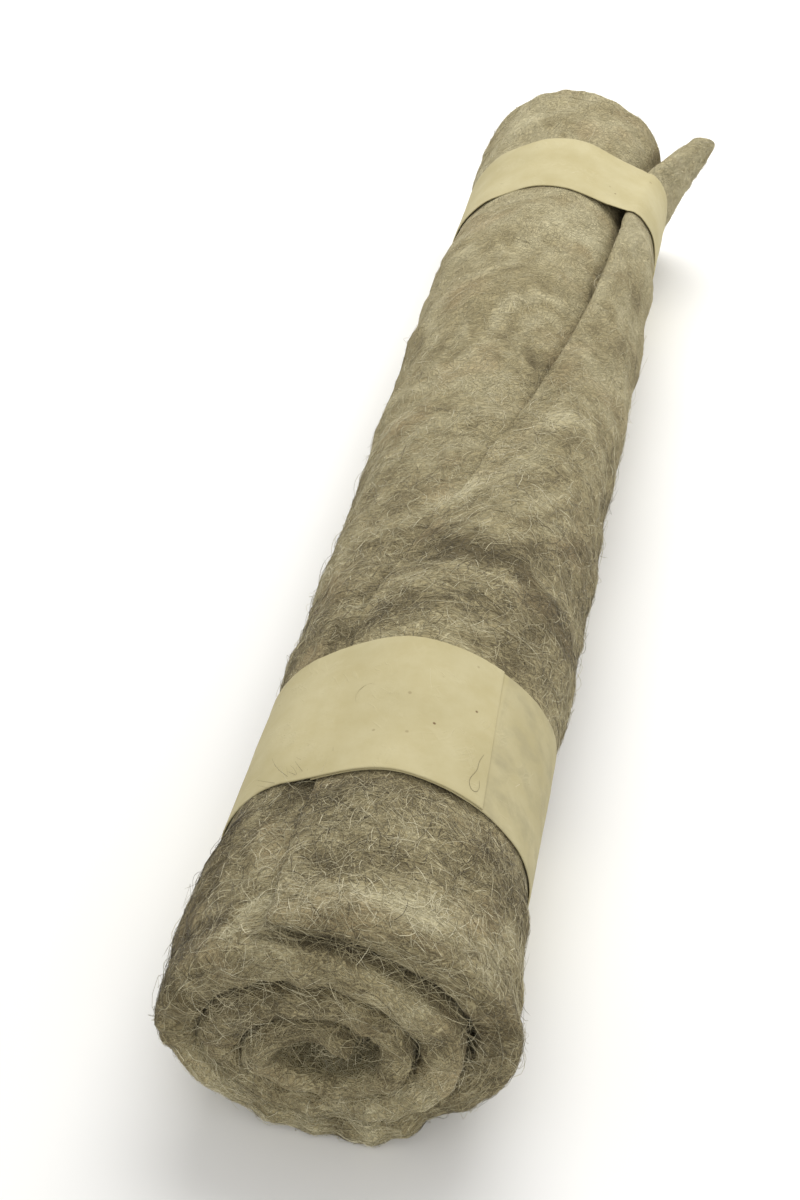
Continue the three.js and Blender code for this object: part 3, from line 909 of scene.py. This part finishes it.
def build_band(sheet, band, material):
    """A strip of paper wound once round the felt and glued on itself. Its outer end shows as a fine step.

    Returns the strip, a patch of its outer face, and what finds the patch's row and column for a place on it.
    """
    name, start, width, double_from, double_to, sag, greyer_past_joint = band
    edge_shares, end_degrees = np.array(BAND_EDGE_SHARES), np.array(BAND_END_DEGREES)
    rows = np.concatenate([edge_shares, np.linspace(0.03, 0.97, BAND_ROWS), 1.0 - edge_shares[::-1]])
    total = 360.0 + double_to - double_from
    middle = np.linspace(BAND_END_CLEAR, total - BAND_END_CLEAR, int(total / BAND_STEP))
    turned = np.concatenate([end_degrees, middle, total - end_degrees[::-1]])
    arc = np.radians(turned) * BAND_MIDDLE_RADIUS
    lap = smoothstep(turned, 360.0 - BAND_LAP_EASE, 361.0)
    end_mm = np.minimum(arc, arc[-1] - arc)
    round_x, round_z = (BAND_MIDDLE_RADIUS * way(double_to - turned) for way in (cosd, sind))
    seed = int(start)
    uneven = BAND_UNEVEN * ripples(round_x, round_z, 51 + seed, BAND_UNEVEN_LENGTH)
    curled = BAND_CURL * ripples(round_x, round_z, 41 + seed, BAND_CURL_LENGTH)
    outer, inner = [], []
    for share in rows:
        along = start + width * share + uneven * (2.0 * share - 1.0)
        felt = sheet.outer_at(start + width * share)
        slant = BAND_JOINT_SLANT * (share - 0.5) * smoothstep(turned, total - BAND_SLANT_OVER, total)
        angle = double_to - turned + slant
        tight = radius_towards(tight_outline(felt), angle)
        close = radius_towards(felt, angle)
        snug = running_mean(close, BAND_EASED_OVER)
        sagged = np.maximum(tight - sag * (tight - snug), close)
        radius = sagged + PAPER_CLEAR - PAPER_SUNK + (PAPER_THICK + GLUE) * lap
        radius = radius + curled * abs(2.0 * share - 1.0) ** 6
        from_sides = width * min(share, 1.0 - share)
        thick = PAPER_THICK * rounding(from_sides, BAND_RIM) * rounding(end_mm, BAND_RIM)
        low = radius + (PAPER_THICK - thick) / 2.0
        for face, r in ((outer, low + thick), (inner, low)):
            x = r * cosd(angle)
            z = np.maximum(r * sind(angle) + ROLL_HEIGHT / 2.0, PAPER_ABOVE_FLOOR)
            face.append(np.stack([x, along - ROLL_LENGTH / 2.0, z], axis=1))
    outer, inner = np.array(outer), np.array(inner)
    even = np.zeros(outer.shape[:2])
    past_joint = turned - (total - 360.0)
    # The paper is greyer past its joint, fading out further round.
    single = greyer_past_joint * smoothstep(past_joint, 0.0, 1.0) * fading(past_joint, *GREYER_FADES) + even
    quads = slab_quads(*even.shape)[:, ::-1]
    obj = new_mesh_object(name.replace("band", "strip"), slab_values(outer, inner), quads, material)
    set_attribute(obj, "greyer_past_joint", slab_values(single, single))
    flat = np.stack([arc[None, :] + even, rows[:, None] * width + even, even], axis=2)
    set_attribute(obj, "unrolled", slab_values(flat, flat) * MM, "FLOAT_VECTOR")
    face = Patch(outer[:, ::-1], 0.5)

    def place(share, direction):
        row = np.interp(share, rows, np.arange(len(rows)))
        column = np.interp(360.0 + double_to - direction, turned, np.arange(len(turned)))
        return row, len(turned) - 1 - column

    return obj, face, place


def build_loose_hair(face, place, material):
    knots = np.arange(len(LOOSE_HAIR))
    fine = np.linspace(0.0, knots[-1], 50)
    share, direction = (running_mean(np.interp(fine, knots, column), 4) for column in zip(*LOOSE_HAIR))
    here = face.at(*place(share, direction))
    points = here[:, POINT] + here[:, NORMAL] * LOOSE_HAIR_WIDTH / 2.0
    width = np.array([LOOSE_HAIR_WIDTH])
    strip, quads = ribbons(points[None], here[None, :, NORMAL], width, np.random.default_rng(7), 3)
    obj = new_mesh_object("paper_hair_near", strip, quads, material)
    set_attribute(obj, "tone", np.full(len(strip), LOOSE_HAIR_TONE))
    return obj


class Shader:
    """A material's node tree, with short calls for the nodes used here."""

    def __init__(self, name):
        self.material = bpy.data.materials.new(name)
        self.material.use_nodes = True
        self.tree = self.material.node_tree

    def feed(self, node, inputs):
        """Sets a node's inputs to numbers, vectors or colours, or links them to other nodes' outputs."""
        for key, value in inputs.items():
            socket = node.inputs[key]
            if isinstance(value, tuple):
                socket.default_value = (*value, 1.0)[: len(socket.default_value)]
            elif isinstance(value, (int, float)):
                socket.default_value = value
            else:
                self.tree.links.new(value, socket)

    def node(self, kind, inputs, **settings):
        made = self.tree.nodes.new(kind)
        for key, value in settings.items():
            setattr(made, key, value)
        self.feed(made, inputs)
        return made

    def attribute(self, name, output):
        return self.node("ShaderNodeAttribute", {}, attribute_name=name).outputs[output]

    def mapped(self, vector, scale, turn):
        """A vector turned about Z, then stretched."""
        scale = tuple(1.0 / value for value in scale)
        inputs = {"Vector": vector, "Scale": scale, "Rotation": (0.0, 0.0, turn)}
        return self.node("ShaderNodeMapping", inputs, vector_type="TEXTURE").outputs[0]

    def noise(self, vector, scale, detail=3.0, roughness=0.55):
        inputs = {"Vector": vector, "Scale": scale, "Detail": detail, "Roughness": roughness}
        return self.node("ShaderNodeTexNoise", inputs).outputs["Fac"]

    def warped(self, vector, scale, reach):
        """A vector moved about by up to half of reach, in soft swirls."""
        swirls = self.node("ShaderNodeTexNoise", {"Vector": vector, "Scale": scale, "Detail": 1.0})
        inputs = {0: swirls.outputs["Color"], 1: (reach, reach, reach), 2: vector}
        return self.node("ShaderNodeVectorMath", inputs, operation="MULTIPLY_ADD").outputs[0]

    def ramp(self, value, stops):
        made = self.node("ShaderNodeValToRGB", {"Fac": value})
        elements = made.color_ramp.elements
        while len(elements) < len(stops):
            elements.new(0.5)
        for element, (at, colour) in zip(elements, stops):
            element.position = at
            element.color = (*colour, 1.0)
        return made.outputs["Color"]

    def math(self, operation, a, b=0.0):
        return self.node("ShaderNodeMath", {0: a, 1: b}, operation=operation).outputs[0]

    def plus(self, a, b):
        return self.math("ADD", a, b)

    def times(self, a, b):
        return self.math("MULTIPLY", a, b)

    def mix(self, kind, factor, a, b):
        inputs = {0: factor, 6: a, 7: b}
        return self.node("ShaderNodeMix", inputs, data_type="RGBA", blend_type=kind).outputs[2]

    def bump(self, height, distance, strength):
        inputs = {"Height": height, "Distance": distance, "Strength": strength}
        return self.node("ShaderNodeBump", inputs).outputs["Normal"]

    def finished(self, surface, colour, normal=None):
        """The material, once its surface has its values, its colour and its relief."""
        fed = {"Base Color": colour, **surface}
        if normal is not None:
            fed["Normal"] = normal
        self.feed(self.tree.nodes["Principled BSDF"], fed)
        return self.material


def felted_lines(shader, place, way, size):
    """1 on thin wandering lines that lie about one way, 0 between them."""
    combed = shader.mapped(place, (170.0 * size, 1100.0 * size, 900.0), way)
    off_middle = shader.math("SUBTRACT", shader.noise(combed, 1.0, detail=1.0), 0.5)
    return shader.ramp(shader.math("ABSOLUTE", off_middle), ((0.008, WHITE), (0.040, BLACK)))


def felt_material():
    """Mixed fleece, felted: patchy tones with painted shade and light, short crossing fibres and a soft nap.
    """
    shader = Shader("wool_felt")
    flat = shader.attribute("unrolled", "Vector")
    hairy = shader.attribute("hairy", "Fac")
    place = shader.warped(flat, 75.0, 0.007)
    grain = shader.noise(flat, 420.0, detail=5.0, roughness=0.65)
    crisp = shader.plus(shader.times(hairy, 0.45), 0.35)
    grainy = shader.times(shader.math("SUBTRACT", grain, 0.5), crisp)
    # This attribute carries the painted shade and painted light of the sheet as well as its mixed fleece.
    tone = shader.plus(shader.attribute("marl", "Fac"), grainy)
    lines = {"paler": BLACK, "darker": BLACK}
    for number, (way, kind) in enumerate(FELTED_LINES):
        line = felted_lines(shader, place, way, 1.0 + 0.13 * number)
        lines[kind] = shader.mix("LIGHTEN", 1.0, lines[kind], line)
    show = shader.times(hairy, LINES_SHOW)
    tone = shader.plus(tone, shader.times(lines["paler"], show))
    tone = shader.math("SUBTRACT", tone, shader.times(lines["darker"], show))
    colour = shader.ramp(tone, ((0.10, WOOL_DARK), (0.52, WOOL_MID), (0.98, WOOL_LIGHT)))
    warmth = shader.ramp(shader.noise(flat, 70.0, detail=2.0), ((0.54, BLACK), (0.72, HALF_GREY)))
    colour = shader.mix("MIX", warmth, colour, WOOL_TAN)
    relief = shader.times(lines["paler"], 0.35)
    relief = shader.plus(shader.times(grain, 0.9), relief)
    return shader.finished(FELT_SURFACE, colour, shader.bump(relief, 0.0007, 1.0))


def fibre_material():
    """Single wool fibres, each of one tone between dark and nearly white."""
    shader = Shader("wool_fibre")
    tone = shader.attribute("tone", "Fac")
    colour = shader.ramp(tone, ((0.0, FIBRE_DARK), (0.45, FIBRE_MID), (1.0, FIBRE_PALE)))
    return shader.finished(FIBRE_SURFACE, colour)


def specks(shader, place, scale, size, share):
    """1 on small scattered spots, 0 between them. share is how many of the cells have one."""
    cells = shader.node("ShaderNodeTexVoronoi", {"Vector": place, "Scale": scale}, feature="F1")
    near = shader.ramp(cells.outputs["Distance"], ((size * 0.6, WHITE), (size, BLACK)))
    chosen = shader.ramp(cells.outputs["Color"], ((1.0 - share - 0.02, BLACK), (1.0 - share, WHITE)))
    return shader.mix("MULTIPLY", 1.0, near, chosen)


def paper_material():
    """Soft cream paper: cloudy, with pale pulp fibres and a few brown specks."""
    shader = Shader("cream_paper")
    flat = shader.attribute("unrolled", "Vector")
    clouds = shader.noise(flat, 110.0, detail=5.0, roughness=0.62)
    colour = shader.ramp(clouds, ((0.34, PAPER_CREAM), (0.66, PAPER_PALE)))
    blotches = shader.ramp(shader.noise(flat, 38.0, detail=2.0), ((0.35, PAPER_BLOTCH), (0.62, WHITE)))
    colour = shader.mix("MULTIPLY", 0.8, colour, blotches)
    # Greyer in uneven patches past the band's joint.
    uneven_grey = shader.ramp(shader.noise(flat, 260.0), ((0.45, BLACK), (0.75, WHITE)))
    greyer_past_joint = shader.times(shader.attribute("greyer_past_joint", "Fac"), shader.plus(uneven_grey, 0.35))
    colour = shader.mix("MIX", shader.times(greyer_past_joint, 0.65), colour, PAPER_GREY)
    place = shader.warped(flat, 60.0, 0.012)
    pulp = [felted_lines(shader, place, way, size) for way, size in ((0.7, 0.45), (2.2, 0.4))]
    rare = shader.ramp(shader.noise(flat, 150.0), ((0.52, BLACK), (0.62, WHITE)))
    pulp = shader.mix("MULTIPLY", 1.0, shader.mix("LIGHTEN", 1.0, *pulp), rare)
    colour = shader.mix("MIX", shader.times(pulp, 0.28), colour, PAPER_PALE)
    colour = shader.mix("MIX", specks(shader, flat, 150.0, 0.055, 0.22), colour, SPECK_BROWN)
    faint = shader.times(specks(shader, flat, 330.0, 0.13, 0.18), 0.35)
    colour = shader.mix("MIX", faint, colour, SPECK_BROWN)
    relief = shader.plus(clouds, shader.times(pulp, 0.4))
    return shader.finished(PAPER_SURFACE, colour, shader.bump(relief, 0.00012, 0.7))


def floor_material():
    shader = Shader("pale_floor")
    place = shader.node("ShaderNodeTexCoord", {}).outputs["Object"]
    tone = shader.ramp(shader.noise(place, 6.0), ((0.3, FLOOR_PALE), (0.7, FLOOR_PALER)))
    return shader.finished(FLOOR_SURFACE, tone)


def build_floor():
    corners = [(x * FLOOR_REACH, y * FLOOR_REACH, 0.0) for x, y in ((-1, -1), (1, -1), (1, 1), (-1, 1))]
    floor = new_mesh_object("floor", corners, [(0, 1, 2, 3)], floor_material())


def build_camera():
    data = bpy.data.cameras.new("camera")
    data.sensor_fit = "VERTICAL"
    data.sensor_height = FILM_HEIGHT
    data.lens = CAMERA_LENS
    data.clip_start = 0.01
    camera = bpy.data.objects.new("camera", data)
    place = Matrix.Translation(CAMERA_AT)
    for angle, axis in ((-CAMERA_YAW, "Z"), (math.pi / 2.0 - CAMERA_PITCH, "X"), (CAMERA_ROLL, "Z")):
        place = place @ Matrix.Rotation(angle, 4, axis)
    camera.matrix_world = place
    bpy.context.scene.collection.objects.link(camera)
    bpy.context.scene.camera = camera


def area_light(name, at, towards, size, watts, colour):
    data = bpy.data.lights.new(name, "AREA")
    data.shape = "SQUARE"
    data.size = size
    data.energy = watts
    data.color = colour
    light = bpy.data.objects.new(name, data)
    light.location = at
    light.rotation_euler = (Vector(towards) - Vector(at)).to_track_quat("-Z", "Y").to_euler()
    bpy.context.scene.collection.objects.link(light)


def build_light():
    for light in LIGHTS:
        area_light(*light)
    world = bpy.data.worlds.new("studio")
    world.use_nodes = True
    background = world.node_tree.nodes["Background"]
    background.inputs["Color"].default_value = WORLD_COLOUR
    background.inputs["Strength"].default_value = WORLD_STRENGTH
    bpy.context.scene.world = world
    bpy.context.scene.view_settings.view_transform = "Standard"


def build_wool(sheet):
    """The loose fibres of the felt: a bed of short ones, the ends' own, and hairs that stand off."""
    material = fibre_material()
    outer, near, far, edge, tuft = felt_patches(sheet)
    face = face_patch(sheet)
    short, middling, long = (1.6, 5.0), (3.0, 8.0), (5.0, 15.0)
    hair = {"width": (0.035, 0.075), "sides": 3, "steps": 7}
    tip = {**hair, "free_end": True}
    pieces = {
        "fibres_lying_a": [Layer(outer, 24000, short)],
        "fibres_lying_b": [Layer(outer, 12000, short), Layer(outer, 9000, middling)],
        "fibres_at_ends": [
            Layer(near, 8500, short, lift=0.35, width=(0.03, 0.065), spread=0.9),
            Layer(face, 3600, middling, curl=0.16, lift=0.4, width=(0.03, 0.06), spread=0.7),
            Layer(far, 4000, short, lift=0.5, spread=0.9),
            Layer(edge, 2000, short, lift=0.4),
        ],
        "hairs_standing": [
            Layer(outer, 1800, long, curl=0.16, lift=1.3, **hair),
            Layer(outer, 800, middling, curl=0.12, lift=1.8, **tip),
            Layer(near, 350, long, curl=0.20, lift=1.2, spread=0.8, **hair),
            Layer(near, 200, middling, curl=0.15, lift=1.6, **tip),
            Layer(far, 250, middling, curl=0.15, lift=1.6, **tip),
            Layer(edge, 250, middling, curl=0.15, lift=1.6, **tip),
            Layer(near, 14, (4.0, 9.0), curl=0.35, lift=1.8, tone=0.8, **hair),
            Layer(tuft, 70, middling, curl=0.15, lift=3.2, tone=0.2, **tip),
        ],
    }
    return [build_fibres(*piece, material, seed) for seed, piece in enumerate(pieces.items(), 1)]


def build_paper(sheet):
    """The two paper bands, each with the stray fibres that are caught in its surface."""
    paper, fibre = paper_material(), fibre_material()
    for number, band in enumerate(BANDS):
        name, _, width, double_from, double_to, *_ = band
        strip, face, place = build_band(sheet, band, paper)
        caught = {"lift": 0.05, "width": (0.04, 0.07), "steps": 9}
        layers = [
            Layer(face, 70, (4.0, 12.0), curl=0.12, tone=0.42, **caught),
            Layer(face, 9, (3.0, 9.0), curl=0.30, tone=-0.25, **caught),
        ]
        stray = [build_fibres(strip.name.replace("strip", "fibres"), layers, fibre, 5 + number)]
        if number == 0:
            stray.append(build_loose_hair(face, place, fibre))
        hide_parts(name)
        for piece in (strip, *stray):
            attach(piece, "root")


def build_roll():
    sheet = FeltSheet()
    felt = build_felt(sheet, felt_material())
    wool = build_wool(sheet)
    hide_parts("felt_sheet")
    for piece in (felt, *wool):
        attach(piece, "root")
    build_paper(sheet)


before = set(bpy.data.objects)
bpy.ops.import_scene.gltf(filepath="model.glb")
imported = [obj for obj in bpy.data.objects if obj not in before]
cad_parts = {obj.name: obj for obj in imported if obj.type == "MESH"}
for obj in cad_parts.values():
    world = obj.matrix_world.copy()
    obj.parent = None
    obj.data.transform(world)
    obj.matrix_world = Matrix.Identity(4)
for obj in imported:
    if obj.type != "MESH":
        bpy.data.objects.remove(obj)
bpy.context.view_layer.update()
build_camera()
build_light()
build_floor()
build_roll()
